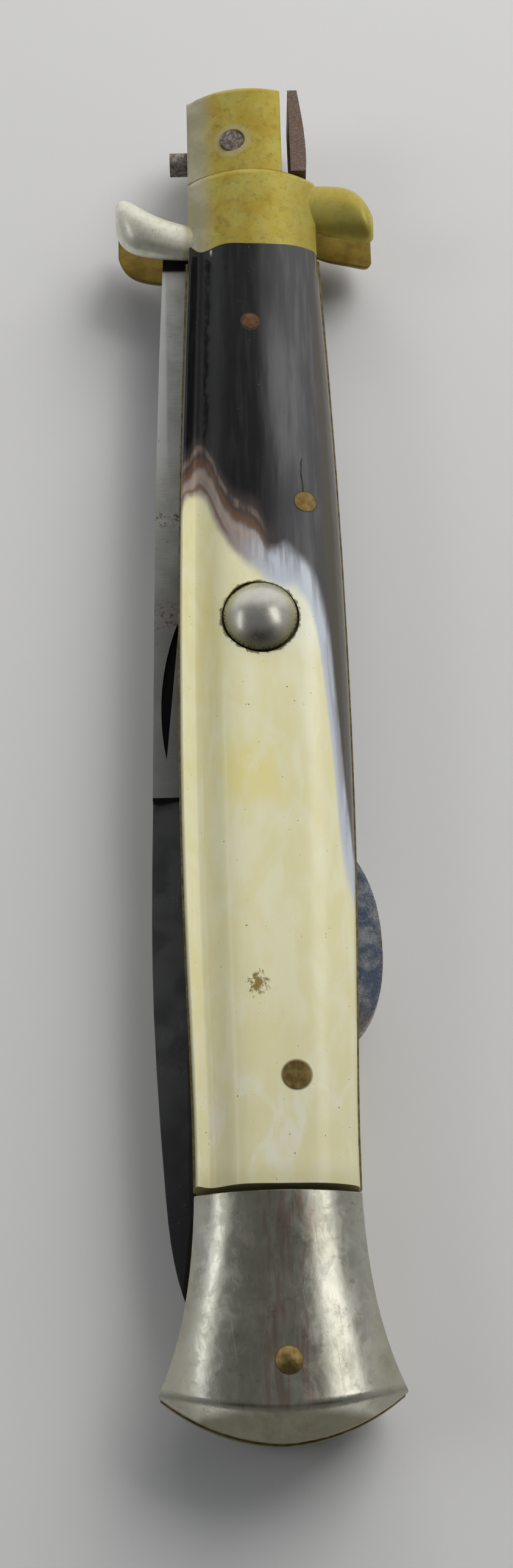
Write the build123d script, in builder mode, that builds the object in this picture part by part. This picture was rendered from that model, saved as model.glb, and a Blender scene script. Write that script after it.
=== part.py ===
"""A slim push-button folding knife with a rocking back lock, lying closed on its rear scale.

Frame: millimetres. +Y runs along the handle from the pommel to the guard, +X is the side with the
back lock, +Z is up out of the front scale. The origin is on the rear scale's flat face, on the
handle's centre line, about halfway along it.
"""

import os
from math import asin, degrees

from build123d import *

os.makedirs("parts", exist_ok=True)

# ---------------------------------------------------------------- driving dimensions
THICKNESS = 12.0  # nominal, over both scales
MID_Z = THICKNESS / 2
SLOT = 2.6  # gap between the liners, where the blade folds
LINER = 0.8
LINER_IN = MID_Z + SLOT / 2  # front liner's inner face
LINER_OUT = LINER_IN + LINER  # front liner's outer face, where scale and bolsters sit
RUNNING = 0.05  # radial clearance of a turning fit

FRONT_END = 64.8  # front end of the guard bolsters
COLLAR_STEP = 55.0  # where the wide collar steps down to the narrow one
SCALE_FRONT = 46.0
SCALE_REAR = -44.8
POMMEL_FRONT = -45.3
POMMEL_CORNER = (10.1, -61.2)
REAR_END = -65.0
END_RADIUS = 15.35  # plan radius of the pommel's bowed end

# Half-width of the scales along the handle, as (half-width, y)
SCALE_SIDE = [(6.3, SCALE_FRONT), (7.25, 20.0), (7.6, -3.0), (7.4, -22.0), (6.9, -38.0), (6.85, SCALE_REAR)]
LINER_PROUD = 0.2  # how far the liners stand out past the scales
# Sections of the scales, as (y, half-width, top): rounder and lower at the guard
SCALE_SECTIONS = [(SCALE_FRONT, 6.25, 11.35), (34.0, 6.75, 11.6), (20.0, 7.25, 11.9), (-3.0, 7.6, 12.12),
                  (-22.0, 7.4, 12.14), (-38.0, 6.9, 12.12), (SCALE_REAR, 6.85, 12.08)]
SCALE_SIDE_TOP = 8.75  # where a scale's side wall turns into its crown
SCALE_BULGE = [(0.55, 0.885), (0.86, 0.565)]  # points of the crown, as shares of half-width and height
COLLAR_HALF = 6.25  # half-width of the wide collar
# Crowns, as (y, radius, top). The pommel sinks a little behind the scales and flares again at its end.
GUARD_CROWN = [(45.0, 8.8, 11.35), (66.0, 9.0, 11.5)]
POMMEL_CROWN = [(-44.0, 11.5, 12.0), (-51.0, 13.0, 11.8), (-57.0, 16.0, 11.8), (-66.0, 20.0, 12.2)]
NARROW_LEFT, NARROW_RIGHT = -6.2, 3.1  # sides of the narrow collar
NARROW_DROP = 0.6  # how far the narrow collar lies below the wide one
# Quillons, as D-shaped sections (x, rear edge, front edge, height above the liner's outer face)
LEFT_QUILLON = [
    (-4.6, 46.3, 50.0, 1.1),
    (-7.0, 46.4, 50.4, 1.4),
    (-9.0, 46.6, 51.1, 1.8),
    (-11.0, 47.0, 52.3, 2.0),
    (-12.4, 47.8, 53.2, 1.7),
    (-13.3, 49.6, 52.6, 0.9),
]
RIGHT_QUILLON = [
    (4.6, 49.1, 54.4, 1.3),
    (7.0, 49.0, 54.5, 1.5),
    (9.0, 48.5, 54.2, 1.9),
    (10.4, 48.2, 53.4, 2.0),
    (11.3, 48.0, 52.2, 1.7),
    (11.9, 48.5, 50.9, 0.9),
]
# The pommel's end bevel: its height below the top at the end face, how far it reaches inwards, and
# the radius of the soft ridge where it meets the crown
BEVEL_RISE = 3.4
BEVEL_RUN = 2.4
RIDGE_ROUND = 1.0

PIVOT, PIVOT_R = (-1.7, 58.5), 1.2
PIVOT_TOP = 10.68  # the rim of the pivot pin's head, level with the narrow collar
LOCK_PIN, LOCK_PIN_R = (4.2, 17.9), 1.0
SPACER_PIN, SPACER_PIN_R = (1.8, -35.8), 1.2
POMMEL_PIN, POMMEL_PIN_R = (0.5, -58.9), 1.1
PIN_PROUD = 0.04  # how far the dressed pin ends stand out of the scales
RIVET, RIVET_R = (-0.4, 37.2), 0.8
KICKER_PIN, KICKER_PIN_R = (3.2, 27.0), 0.6

BLADE_HALF = 1.2  # half the blade's thickness
STEEL_HALF = 1.2  # half the thickness of the lock bar and the springs beside it
TANG_R = 3.8
LUG_SWEEP = 6.65  # radius that the lug needs round the pivot
LUG_ROUND = 0.8  # the lug on the tang is nearly a round stub
TIP = (-5.8, -57.5)
SPINE = [(-8.1, -52.8), (-9.45, -44.0), (-10.35, -26.0), (-10.2, -9.5), (-9.7, 20.0), (-8.75, 47.4)]
EDGE_X = 1.1  # the straight part of the cutting edge
POINT_EDGE = [(0.7, -27.0), (-0.3, -38.0), (-2.4, -48.5)]
EDGE_HALF = 0.02  # half the thickness left at the cutting edge
PLUNGE_Y = 43.0  # where the grind of the cutting edge starts
GRIND_WIDE, POINT_GRIND_WIDE = 4.6, 4.0
SWEDGE_Y = -9.5  # where the false edge starts on the spine
SWEDGE_IN, SWEDGE_WIDE, SWEDGE_HALF = -7.4, 3.4, 0.25  # its inner line, its width, half its outer thickness
NICK = [(-7.6, 8.3), (-9.25, 1.4), (-8.9, -5.6)]  # the nail nick's arc
NICK_DEEP = 0.7

HEAD_HALF = 3.6  # half the lock bar's head, across the handle's thickness
HEAD_REAR, HEAD_FRONT = 55.5, 65.1
WINDOW = (56.7, 59.2)  # the hole in the head that drops over the tang's lug
LOBE_TOP = (9.7, -23.4)
LEAF_ROOT, LEAF_ROOT_R = (4.6, -35.2), 0.7
LEAF_TIP = (2.75, -17.5)
LEAF_THICK = 0.5

BUTTON, BUTTON_R = (-0.2, 6.15), 3.3
BUTTON_DOME = 1.5
BUTTON_SEAT_Z = 11.0  # floor of the button's counterbore
STEM_R = 1.9
LEVER_X = -2.75  # centre line of the sear lever's arm
LEVER_HALF = 0.8
LEVER_Z = 8.85  # underside of the sear lever
LEVER_THICK = 0.5
EAR_X, EAR_WIDE = 1.35, 0.6  # the two ears that hold the fulcrum pin, off the arm's centre line
FULCRUM_Y, FULCRUM_Z, FULCRUM_R = 24.0, 8.65, 0.4
SEAR, SEAR_R = (LEVER_X, 42.0), 0.5
PAD_ROOF, ARM_ROOF = 9.9, 10.2  # roofs of the recess in the front scale

MID_PLANE = Plane.XY.offset(MID_Z)


def keep(name, builder):
    """Labels a finished piece and writes it to its own file."""
    builder.part.label = name
    export_step(builder.part, f"parts/{name}.step")


def level(z):
    """The horizontal work plane at height z."""
    return Plane.XY.offset(z)


def disc_at(place, radius):
    """A round sketch at a plan position."""
    with BuildSketch() as disc:
        with Locations(place):
            Circle(radius)
    return disc.sketch


def drill(place, radius, low=-1.0, high=THICKNESS + 2.0):
    """Cuts a round hole along Z in the open part."""
    with BuildSketch(level(low)) as hole:
        add(disc_at(place, radius))
    extrude(hole.sketch, amount=high - low, mode=Mode.SUBTRACT)


def crown(stations, drop=0.0):
    """Rounds the open part off under a round bar along Y, with its radius and top given at each y."""
    rings = []
    for y, radius, top in stations:
        with BuildSketch(Plane.XZ.offset(-y)) as ring:
            with Locations((0, top - drop - radius)):
                Circle(radius)
        rings.append(ring.sketch)
    loft(rings, mode=Mode.INTERSECT)


def dome_arc(radius, base, height):
    """An arc of a profile from the rim of a dome up to its top on the axis, in the open line."""
    ball = (radius**2 + height**2) / (2 * height)
    sweep = degrees(asin(radius / ball))
    CenterArc((0, base + height - ball), ball, 90 - sweep, sweep)


def half_outline(side, front, rear):
    """A plan outline from the points of its right-hand side, mirrored in the centre line."""
    with BuildSketch() as outline:
        with BuildLine():
            Spline(*side)
            Line(side[0], (0, front))
            Line(side[-1], (0, rear))
            mirror(about=Plane.YZ)
        make_face()
    return outline.sketch


def pommel_outline():
    """Plan of the flared pommel, with its bowed end."""
    with BuildSketch() as outline:
        with BuildLine():
            Line((0, POMMEL_FRONT), (6.95, POMMEL_FRONT))
            Spline((6.95, POMMEL_FRONT), (7.4, -51.5), (8.5, -57.0), POMMEL_CORNER)
            ThreePointArc(POMMEL_CORNER, (5.4, -63.9), (0, REAR_END))
            mirror(about=Plane.YZ)
        make_face()
    return outline.sketch


# ---------------------------------------------------------------- liners
with BuildPart() as liner_blank:
    with BuildSketch(level(LINER_IN)):
        add(half_outline([(x + LINER_PROUD, y) for x, y in SCALE_SIDE], SCALE_FRONT, SCALE_REAR))
        add(pommel_outline())
        with Locations((0, (SCALE_REAR + POMMEL_FRONT) / 2)):
            Rectangle(13.6, 2 * (SCALE_REAR - POMMEL_FRONT))
        with Locations((0, (SCALE_FRONT + COLLAR_STEP) / 2)):
            Rectangle(2 * COLLAR_HALF, COLLAR_STEP - SCALE_FRONT)
        with Locations(((NARROW_LEFT + NARROW_RIGHT) / 2, (COLLAR_STEP + FRONT_END) / 2)):
            Rectangle(NARROW_RIGHT - NARROW_LEFT, FRONT_END - COLLAR_STEP)
    extrude(amount=LINER)
    for place, radius in (
        (PIVOT, PIVOT_R),
        (LOCK_PIN, LOCK_PIN_R),
        (SPACER_PIN, SPACER_PIN_R),
        (POMMEL_PIN, POMMEL_PIN_R),
        (RIVET, RIVET_R),
        (KICKER_PIN, KICKER_PIN_R),
    ):
        drill(place, radius)

with BuildPart() as front_liner:
    add(liner_blank.part)
    drill(SEAR, SEAR_R + 0.25)
    with BuildSketch(level(LINER_OUT)):
        with Locations((LEVER_X - EAR_X, FULCRUM_Y), (LEVER_X + EAR_X, FULCRUM_Y)):
            Rectangle(EAR_WIDE, 1.8)
    extrude(amount=FULCRUM_Z + FULCRUM_R + 0.2 - LINER_OUT)
    with BuildSketch(Plane.YZ.offset(LEVER_X)):
        with Locations((FULCRUM_Y, FULCRUM_Z)):
            Circle(FULCRUM_R)
    extrude(amount=3.0, both=True, mode=Mode.SUBTRACT)
keep("front_liner", front_liner)

with BuildPart() as rear_liner:
    mirror(liner_blank.part, about=MID_PLANE)
keep("rear_liner", rear_liner)


# ---------------------------------------------------------------- sear lever and what it carries
def lever_outline(grow=0.0):
    """Plan of the sear lever: a round pad under the button and an arm to the sear."""
    bx, by = BUTTON
    left, right = LEVER_X - LEVER_HALF, LEVER_X + LEVER_HALF
    with BuildSketch() as outline:
        add(disc_at(BUTTON, 2.6))
        with BuildLine():
            Polyline((left, 43.2), (right, 43.2), (right, 15.0), (bx + 2.2, by + 1.0), (bx - 2.4, by - 0.8),
                     (left, 14.0), close=True)
        make_face()
        if grow:
            offset(amount=grow)
    return outline.sketch


with BuildPart() as sear_lever:
    with BuildSketch(level(LEVER_Z)):
        add(lever_outline())
    extrude(amount=LEVER_THICK)
    saddle = Plane.YZ.offset(LEVER_X)
    with BuildSketch(saddle):
        with Locations((FULCRUM_Y, FULCRUM_Z)):
            Circle(FULCRUM_R + 0.45)
        with Locations((FULCRUM_Y, FULCRUM_Z - 1.0)):
            Rectangle(4.0, 2.0, mode=Mode.SUBTRACT)
    extrude(amount=LEVER_HALF, both=True)
    with BuildSketch(saddle):
        with Locations((FULCRUM_Y, FULCRUM_Z)):
            Circle(FULCRUM_R + RUNNING)
    extrude(amount=3.0, both=True, mode=Mode.SUBTRACT)
    drill(SEAR, SEAR_R)
keep("sear_lever", sear_lever)

with BuildPart() as sear_pin:
    tip_z = MID_Z + BLADE_HALF + 0.06
    with BuildSketch(level(tip_z)):
        add(disc_at(SEAR, SEAR_R))
    extrude(amount=LEVER_Z + LEVER_THICK - tip_z)
    chamfer(sear_pin.edges().filter_by(GeomType.CIRCLE).sort_by(Axis.Z)[0], 0.2)
keep("sear_pin", sear_pin)

with BuildPart() as fulcrum_pin:
    with BuildSketch(Plane.YZ.offset(LEVER_X)):
        with Locations((FULCRUM_Y, FULCRUM_Z)):
            Circle(FULCRUM_R)
    extrude(amount=EAR_X + EAR_WIDE / 2, both=True)
keep("fulcrum_pin", fulcrum_pin)

with BuildPart() as button_spring:
    low, high = LEVER_Z + LEVER_THICK + 0.03, ARM_ROOF - 0.03
    leaf = 0.22
    with BuildSketch(Plane.YZ.offset(LEVER_X)):
        with BuildLine():
            ThreePointArc((28.0, low), (33.0, high - leaf), (38.0, low))
            Line((38.0, low), (38.0, low + leaf))
            ThreePointArc((38.0, low + leaf), (33.0, high), (28.0, low + leaf))
            Line((28.0, low + leaf), (28.0, low))
        make_face()
    extrude(amount=0.7, both=True)
keep("button_spring", button_spring)

with BuildPart() as button:
    bx, by = BUTTON
    stem_z = LEVER_Z + LEVER_THICK + 0.1
    rim_z = THICKNESS - 0.1
    dome_z = rim_z + 0.35
    with BuildSketch(Plane(origin=(bx, by, 0), x_dir=(1, 0, 0), z_dir=(0, -1, 0))):
        with BuildLine():
            Polyline((0, stem_z), (STEM_R, stem_z), (STEM_R, rim_z), (BUTTON_R, rim_z), (BUTTON_R, dome_z))
            dome_arc(BUTTON_R, dome_z, BUTTON_DOME)
            Line((0, dome_z + BUTTON_DOME), (0, stem_z))
        make_face()
    revolve(axis=Axis((bx, by, 0), (0, 0, 1)))
keep("button", button)

# ---------------------------------------------------------------- scales


def scale_body(proud=0.0):
    """The solid of the front scale without its holes, lofted through its sections; proud raises the crown."""
    rings = []
    for y, half, top in SCALE_SECTIONS:
        rise = top + proud - SCALE_SIDE_TOP
        right = [(half * share, SCALE_SIDE_TOP + rise * height) for share, height in SCALE_BULGE]
        left = [(-x, z) for x, z in reversed(right)]
        with BuildSketch(Plane.XZ.offset(-y)) as ring:
            with BuildLine():
                Polyline((-half, SCALE_SIDE_TOP), (-half, LINER_OUT), (half, LINER_OUT),
                         (half, SCALE_SIDE_TOP))
                Spline((half, SCALE_SIDE_TOP), *reversed(right), (0, top + proud), *reversed(left),
                       (-half, SCALE_SIDE_TOP), tangents=[(0, 1), (0, -1)])
            make_face()
        rings.append(ring.sketch)
    with BuildPart() as body:
        loft(rings)
    return body.part


with BuildPart() as scale_blank:
    add(scale_body())
    for place, radius in ((LOCK_PIN, LOCK_PIN_R), (SPACER_PIN, SPACER_PIN_R), (RIVET, RIVET_R)):
        drill(place, radius)

with BuildPart() as front_scale:
    add(scale_blank.part)
    with BuildSketch(level(LINER_OUT)):
        add(lever_outline(0.35))
        with Locations((LEVER_X, FULCRUM_Y)):
            Rectangle(2 * EAR_X + EAR_WIDE + 0.6, 2.6)
    extrude(amount=PAD_ROOF - LINER_OUT, mode=Mode.SUBTRACT)
    with BuildSketch(level(LINER_OUT)):
        with Locations((LEVER_X, (FULCRUM_Y + 43.5) / 2)):
            Rectangle(2 * (LEVER_HALF + 0.35), 43.5 - FULCRUM_Y)
    extrude(amount=ARM_ROOF - LINER_OUT, mode=Mode.SUBTRACT)
    drill(BUTTON, STEM_R + 0.08)
    drill(BUTTON, BUTTON_R + 0.2, low=BUTTON_SEAT_Z)
keep("front_scale", front_scale)

with BuildPart() as rear_scale:
    mirror(scale_blank.part, about=MID_PLANE)
    split(bisect_by=level(0), keep=Keep.TOP)  # the flat face that the knife rests on
keep("rear_scale", rear_scale)

# ---------------------------------------------------------------- guard bolsters
with BuildPart() as wide_collar:
    with BuildSketch(level(LINER_OUT)):
        with Locations((0, (SCALE_FRONT + COLLAR_STEP) / 2)):
            Rectangle(2 * COLLAR_HALF, COLLAR_STEP - SCALE_FRONT)
    extrude(amount=THICKNESS - LINER_OUT)
    crown(GUARD_CROWN)
    fillet(wide_collar.faces().sort_by(Axis.Y)[-1].edges().sort_by(Axis.Z)[-1], 0.9)

with BuildPart() as narrow_collar:
    narrow_mid = (NARROW_LEFT + NARROW_RIGHT) / 2
    with BuildSketch(level(LINER_OUT)):
        with Locations((narrow_mid, (COLLAR_STEP + FRONT_END) / 2)):
            Rectangle(NARROW_RIGHT - NARROW_LEFT, FRONT_END - COLLAR_STEP)
    extrude(amount=THICKNESS - LINER_OUT)
    crown(GUARD_CROWN, drop=NARROW_DROP)
    fillet(narrow_collar.faces().sort_by(Axis.Y)[-1].edges().sort_by(Axis.Z)[-1], 0.6)


def quillon(stations):
    """A quillon lofted through its D-shaped sections, flat side on the liner."""
    sections = []
    for x, rear, front, height in stations:
        with BuildSketch(Plane.YZ.offset(x)) as section:
            with BuildLine():
                EllipticalCenterArc(((rear + front) / 2, LINER_OUT), (front - rear) / 2, height, arc_size=180)
                Line((rear, LINER_OUT), (front, LINER_OUT))
            make_face()
        sections.append(section.sketch)
    loft(sections)


with BuildPart() as quillons:
    quillon(LEFT_QUILLON)
    quillon(RIGHT_QUILLON)

with BuildPart() as front_guard_bolster:
    add(wide_collar.part)
    add(narrow_collar.part)
    add(quillons.part)
    drill(PIVOT, PIVOT_R)
keep("front_guard_bolster", front_guard_bolster)

with BuildPart() as rear_guard_bolster:
    mirror(front_guard_bolster.part, about=MID_PLANE)
keep("rear_guard_bolster", rear_guard_bolster)

# ---------------------------------------------------------------- pommel bolsters
with BuildPart() as front_pommel_bolster:
    with BuildSketch(level(LINER_OUT)):
        add(pommel_outline())
    extrude(amount=THICKNESS - LINER_OUT)
    crown(POMMEL_CROWN)
    # The end bevel is a cone round the centre of the bowed end
    with BuildSketch(Plane.XZ) as cone:
        with BuildLine():
            Polyline((0, 0), (END_RADIUS, 0), (END_RADIUS, THICKNESS - BEVEL_RISE),
                     (END_RADIUS - 2 * BEVEL_RUN, THICKNESS + BEVEL_RISE), (0, THICKNESS + BEVEL_RISE),
                     close=True)
        make_face()
    revolve(cone.sketch.moved(Location((0, REAR_END + END_RADIUS, 0))),
            axis=Axis((0, REAR_END + END_RADIUS, 0), (0, 0, 1)), mode=Mode.INTERSECT)
    bevel = front_pommel_bolster.faces().filter_by(GeomType.CONE)[0]
    fillet(bevel.edges().sort_by(Axis.Z)[-1], RIDGE_ROUND)
    drill(POMMEL_PIN, POMMEL_PIN_R)
keep("front_pommel_bolster", front_pommel_bolster)

with BuildPart() as rear_pommel_bolster:
    mirror(front_pommel_bolster.part, about=MID_PLANE)
keep("rear_pommel_bolster", rear_pommel_bolster)

# ---------------------------------------------------------------- blade, closed
with BuildPart() as blade:
    px, py = PIVOT
    with BuildSketch(MID_PLANE):
        with BuildLine():
            Polyline(SPINE[-1], (px - TANG_R - 0.5, 50.6), (px - TANG_R - 0.5, 58.1), (-8.0, 58.1),
                     (-8.0, 60.0), (px - 3.48, 60.0))
            ThreePointArc((px - 3.48, 60.0), (px, py + TANG_R), (px + TANG_R, py))
            Polyline((px + TANG_R, py), (2.2, 55.0), (2.2, 47.0), (EDGE_X, 44.0), (EDGE_X, -12.0))
            Spline((EDGE_X, -12.0), *POINT_EDGE, TIP, tangents=[(0, -1), (-0.45, -1)])
            Spline(TIP, *SPINE)
        make_face()
    extrude(amount=BLADE_HALF, both=True)
    along_lug = blade.edges().filter_by(Axis.X)
    fillet(along_lug.filter_by(lambda edge: edge.center().X < -6 and edge.center().Y > 57), LUG_ROUND)
    # The cutting edge, ground from both faces, straight behind the plunge and again along the point
    straight = Plane(origin=(EDGE_X, PLUNGE_Y, MID_Z), x_dir=(1, 0, 0), z_dir=(0, -1, 0))
    curved = Plane(origin=(-1.2, -40.0, MID_Z), x_dir=(0.965, -0.262, 0), z_dir=(-0.262, -0.965, 0))
    for plane, width, length in ((straight, GRIND_WIDE, 88.0), (curved, POINT_GRIND_WIDE, 24.0)):
        with BuildSketch(plane):
            for side in (-1, 1):
                with BuildLine():
                    Polyline((-width, side * BLADE_HALF), (0.6, side * EDGE_HALF), (6.0, side * BLADE_HALF),
                             close=True)
                make_face()
        extrude(amount=length, mode=Mode.SUBTRACT)
    # The false edge along the spine, from its step to the point
    with BuildSketch(Plane(origin=(SWEDGE_IN, SWEDGE_Y, MID_Z), x_dir=(-1, 0, 0), z_dir=(0, -1, 0))):
        for side in (-1, 1):
            with BuildLine():
                Polyline((0, side * BLADE_HALF), (SWEDGE_WIDE, side * SWEDGE_HALF), (SWEDGE_WIDE, side * 2.0),
                         (0, side * 2.0), close=True)
            make_face()
    extrude(amount=50.0, mode=Mode.SUBTRACT)
    with BuildSketch(level(MID_Z + BLADE_HALF)):
        with BuildLine():
            ThreePointArc(*NICK)
            Line(NICK[-1], NICK[0])
        make_face()
    extrude(amount=-NICK_DEEP, mode=Mode.SUBTRACT)
    drill(PIVOT, PIVOT_R + RUNNING)
    drill(SEAR, SEAR_R + 0.1, low=MID_Z + BLADE_HALF - 0.8)
keep("blade", blade)

# ---------------------------------------------------------------- lock bar and its spring
with BuildPart() as lock_bar:
    with BuildSketch(MID_PLANE):
        with BuildLine():
            Polyline((4.2, HEAD_REAR), (4.5, 50.0), (4.95, 30.0), (4.95, 24.0), (2.4, 19.8), (2.4, 12.0),
                     (3.0, -5.0), (3.2, -17.5), (5.75, -31.5), (7.1, -31.5))
            Spline((7.1, -31.5), (9.0, -28.6), LOBE_TOP, (8.9, -18.0), (7.4, -15.0))
            Spline((7.4, -15.0), (7.5, -2.0), (7.15, 20.0), (6.5, 38.0), (5.5, HEAD_REAR))
            Line((5.5, HEAD_REAR), (4.2, HEAD_REAR))
        make_face()
    extrude(amount=STEEL_HALF, both=True)
    with BuildSketch(MID_PLANE):
        with BuildLine():
            Polyline((4.0, HEAD_REAR), (3.9, HEAD_FRONT), (4.85, HEAD_FRONT))
            Spline((4.85, HEAD_FRONT), (5.3, 61.5), (5.55, 58.0), (5.5, HEAD_REAR))
            Line((5.5, HEAD_REAR), (4.0, HEAD_REAR))
        make_face()
    extrude(amount=HEAD_HALF, both=True)
    # Room for the tang's lug, which swings past the head before it drops into the window
    with BuildSketch(MID_PLANE):
        add(disc_at(PIVOT, LUG_SWEEP))
    extrude(amount=BLADE_HALF + 0.2, both=True, mode=Mode.SUBTRACT)
    with BuildSketch(Plane.YZ):
        with Locations(((WINDOW[0] + WINDOW[1]) / 2, MID_Z)):
            Rectangle(WINDOW[1] - WINDOW[0], 2 * BLADE_HALF + 0.4)
    extrude(amount=10.0, mode=Mode.SUBTRACT)
    drill(LOCK_PIN, LOCK_PIN_R + RUNNING)
keep("lock_bar", lock_bar)

with BuildPart() as lock_bar_spring:
    (root_x, root_y), (end_x, end_y) = LEAF_ROOT, LEAF_TIP
    half = LEAF_THICK / 2
    with BuildSketch(MID_PLANE):
        with BuildLine():
            Polyline((root_x - half, root_y), (end_x - half, end_y), (end_x + half, end_y),
                     (root_x + half, root_y), close=True)
        make_face()
        add(disc_at(LEAF_ROOT, LEAF_ROOT_R))
    extrude(amount=STEEL_HALF, both=True)
keep("lock_bar_spring", lock_bar_spring)

with BuildPart() as rear_spacer:
    with BuildSketch(MID_PLANE):
        with BuildLine():
            Polyline((0.75, -33.8), (0.55, -39.0), (-0.6, -44.0), (-2.6, -52.0), (-4.4, -59.5), (-4.4, -62.6),
                     (5.6, -62.6), (6.6, -56.0), (6.6, -33.8), close=True)
        make_face()
        with Locations((root_x, root_y + 1.4)):
            Rectangle(1.3, 2.8, mode=Mode.SUBTRACT)
        add(disc_at(LEAF_ROOT, LEAF_ROOT_R + RUNNING), mode=Mode.SUBTRACT)
    extrude(amount=SLOT / 2, both=True)
    drill(SPACER_PIN, SPACER_PIN_R)
    drill(POMMEL_PIN, POMMEL_PIN_R)
keep("rear_spacer", rear_spacer)

# ---------------------------------------------------------------- kicker spring
with BuildPart() as kicker_spring:
    with BuildSketch(MID_PLANE):
        with BuildLine():
            Polyline((2.6, 27.0), (2.4, 56.0), (2.9, 56.2), (3.3, 55.6), (3.8, 27.0), close=True)
        make_face()
        add(disc_at(KICKER_PIN, 1.25))
    extrude(amount=STEEL_HALF, both=True)
    drill(KICKER_PIN, KICKER_PIN_R + RUNNING)
keep("kicker_spring", kicker_spring)


# ---------------------------------------------------------------- pins and rivets
def pin_through(place, radius, low, high, dome=0.0):
    """A pin along Z in the open part, its front end domed by the height given."""
    x, y = place
    with BuildSketch(Plane(origin=(x, y, 0), x_dir=(1, 0, 0), z_dir=(0, -1, 0))) as section:
        with BuildLine():
            Polyline((0, high + dome), (0, low), (radius, low), (radius, high))
            if dome:
                dome_arc(radius, high, dome)
            else:
                Line((radius, high), (0, high))
        make_face()
    revolve(section.sketch, axis=Axis((x, y, 0), (0, 0, 1)))


def dressed_pin(place, radius, low):
    """A pin along Z in the open part, from height low, its front end dressed with the crown of the scale."""
    pin_through(place, radius, LINER_OUT, THICKNESS + 1.0)
    add(scale_body(PIN_PROUD), mode=Mode.INTERSECT)
    pin_through(place, radius, low, LINER_OUT)


with BuildPart() as pivot_pin:
    pin_through(PIVOT, PIVOT_R, THICKNESS - PIVOT_TOP, PIVOT_TOP, dome=0.12)
keep("pivot_pin", pivot_pin)

with BuildPart() as lock_bar_pin:
    dressed_pin(LOCK_PIN, LOCK_PIN_R, MID_Z)
    mirror(about=MID_PLANE)
keep("lock_bar_pin", lock_bar_pin)

with BuildPart() as spacer_pin:
    dressed_pin(SPACER_PIN, SPACER_PIN_R, 0.0)
keep("spacer_pin", spacer_pin)

with BuildPart() as pommel_pin:
    pin_through(POMMEL_PIN, POMMEL_PIN_R, 0.0, THICKNESS - 0.05, dome=0.35)
keep("pommel_pin", pommel_pin)

with BuildPart() as kicker_pin:
    pin_through(KICKER_PIN, KICKER_PIN_R, THICKNESS - LINER_OUT, LINER_OUT)
keep("kicker_pin", kicker_pin)

with BuildPart() as front_scale_rivet:
    dressed_pin(RIVET, RIVET_R, LINER_IN)
keep("front_scale_rivet", front_scale_rivet)

with BuildPart() as rear_scale_rivet:
    mirror(front_scale_rivet.part, about=MID_PLANE)
keep("rear_scale_rivet", rear_scale_rivet)
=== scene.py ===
"""The looks of a slim push-button folding knife: materials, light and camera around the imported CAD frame."""

from math import radians

import bpy
from mathutils import Matrix, Vector


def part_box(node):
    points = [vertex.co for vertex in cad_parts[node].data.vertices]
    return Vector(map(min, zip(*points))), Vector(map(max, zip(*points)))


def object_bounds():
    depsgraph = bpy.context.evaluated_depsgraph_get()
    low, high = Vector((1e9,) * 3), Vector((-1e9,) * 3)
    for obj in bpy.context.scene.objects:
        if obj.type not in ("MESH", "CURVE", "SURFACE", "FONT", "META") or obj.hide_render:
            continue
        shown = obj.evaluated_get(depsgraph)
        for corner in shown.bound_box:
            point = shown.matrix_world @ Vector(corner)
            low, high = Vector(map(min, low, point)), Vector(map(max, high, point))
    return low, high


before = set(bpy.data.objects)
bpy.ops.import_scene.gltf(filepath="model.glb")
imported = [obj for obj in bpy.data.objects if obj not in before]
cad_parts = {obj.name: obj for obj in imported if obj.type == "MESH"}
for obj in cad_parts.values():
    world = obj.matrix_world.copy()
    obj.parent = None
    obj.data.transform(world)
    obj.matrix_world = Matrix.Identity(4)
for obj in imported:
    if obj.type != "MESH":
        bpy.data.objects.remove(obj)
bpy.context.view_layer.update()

MM = 0.001
IMAGE_LONG_SIDE = 2576


def centre(node):
    """The middle of a CAD node's box, in millimetres."""
    low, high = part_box(node)
    return (low + high) / (2 * MM)


# ---------------------------------------------------------------- camera, floor and light
CAMERA_AT = Vector((-2.6, -79.2, 195.6)) * MM
CAMERA_TILT = radians(20.69)  # away from straight down
CAMERA_TURN = radians(-1.37)
FOCAL_PIXELS = 3695.0  # in pixels of the full-size render
SENSOR_MM = 36.0
NEAREST, FARTHEST = 0.005, 20.0

camera = bpy.data.objects.new("camera", bpy.data.cameras.new("camera"))
bpy.context.scene.collection.objects.link(camera)
camera.matrix_world = (Matrix.Translation(CAMERA_AT) @ Matrix.Rotation(CAMERA_TURN, 4, "Z")
                       @ Matrix.Rotation(CAMERA_TILT, 4, "X"))
camera.data.sensor_fit = "AUTO"
camera.data.sensor_width = SENSOR_MM
camera.data.lens = SENSOR_MM * FOCAL_PIXELS / IMAGE_LONG_SIDE
camera.data.clip_start = NEAREST
camera.data.clip_end = FARTHEST
bpy.context.scene.camera = camera


def softbox(name, at, size, power, colour, mirrored=True):
    """An area light that looks at the middle of the knife; one that isn't mirrored leaves no highlight."""
    light = bpy.data.lights.new(name, "AREA")
    light.shape = "RECTANGLE"
    light.size, light.size_y = size
    light.energy = power
    light.color = colour
    lamp = bpy.data.objects.new(name, light)
    lamp.location = at
    lamp.rotation_euler = (-Vector(at)).to_track_quat("-Z", "Y").to_euler()
    lamp.visible_glossy = mirrored
    bpy.context.scene.collection.objects.link(lamp)


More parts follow.
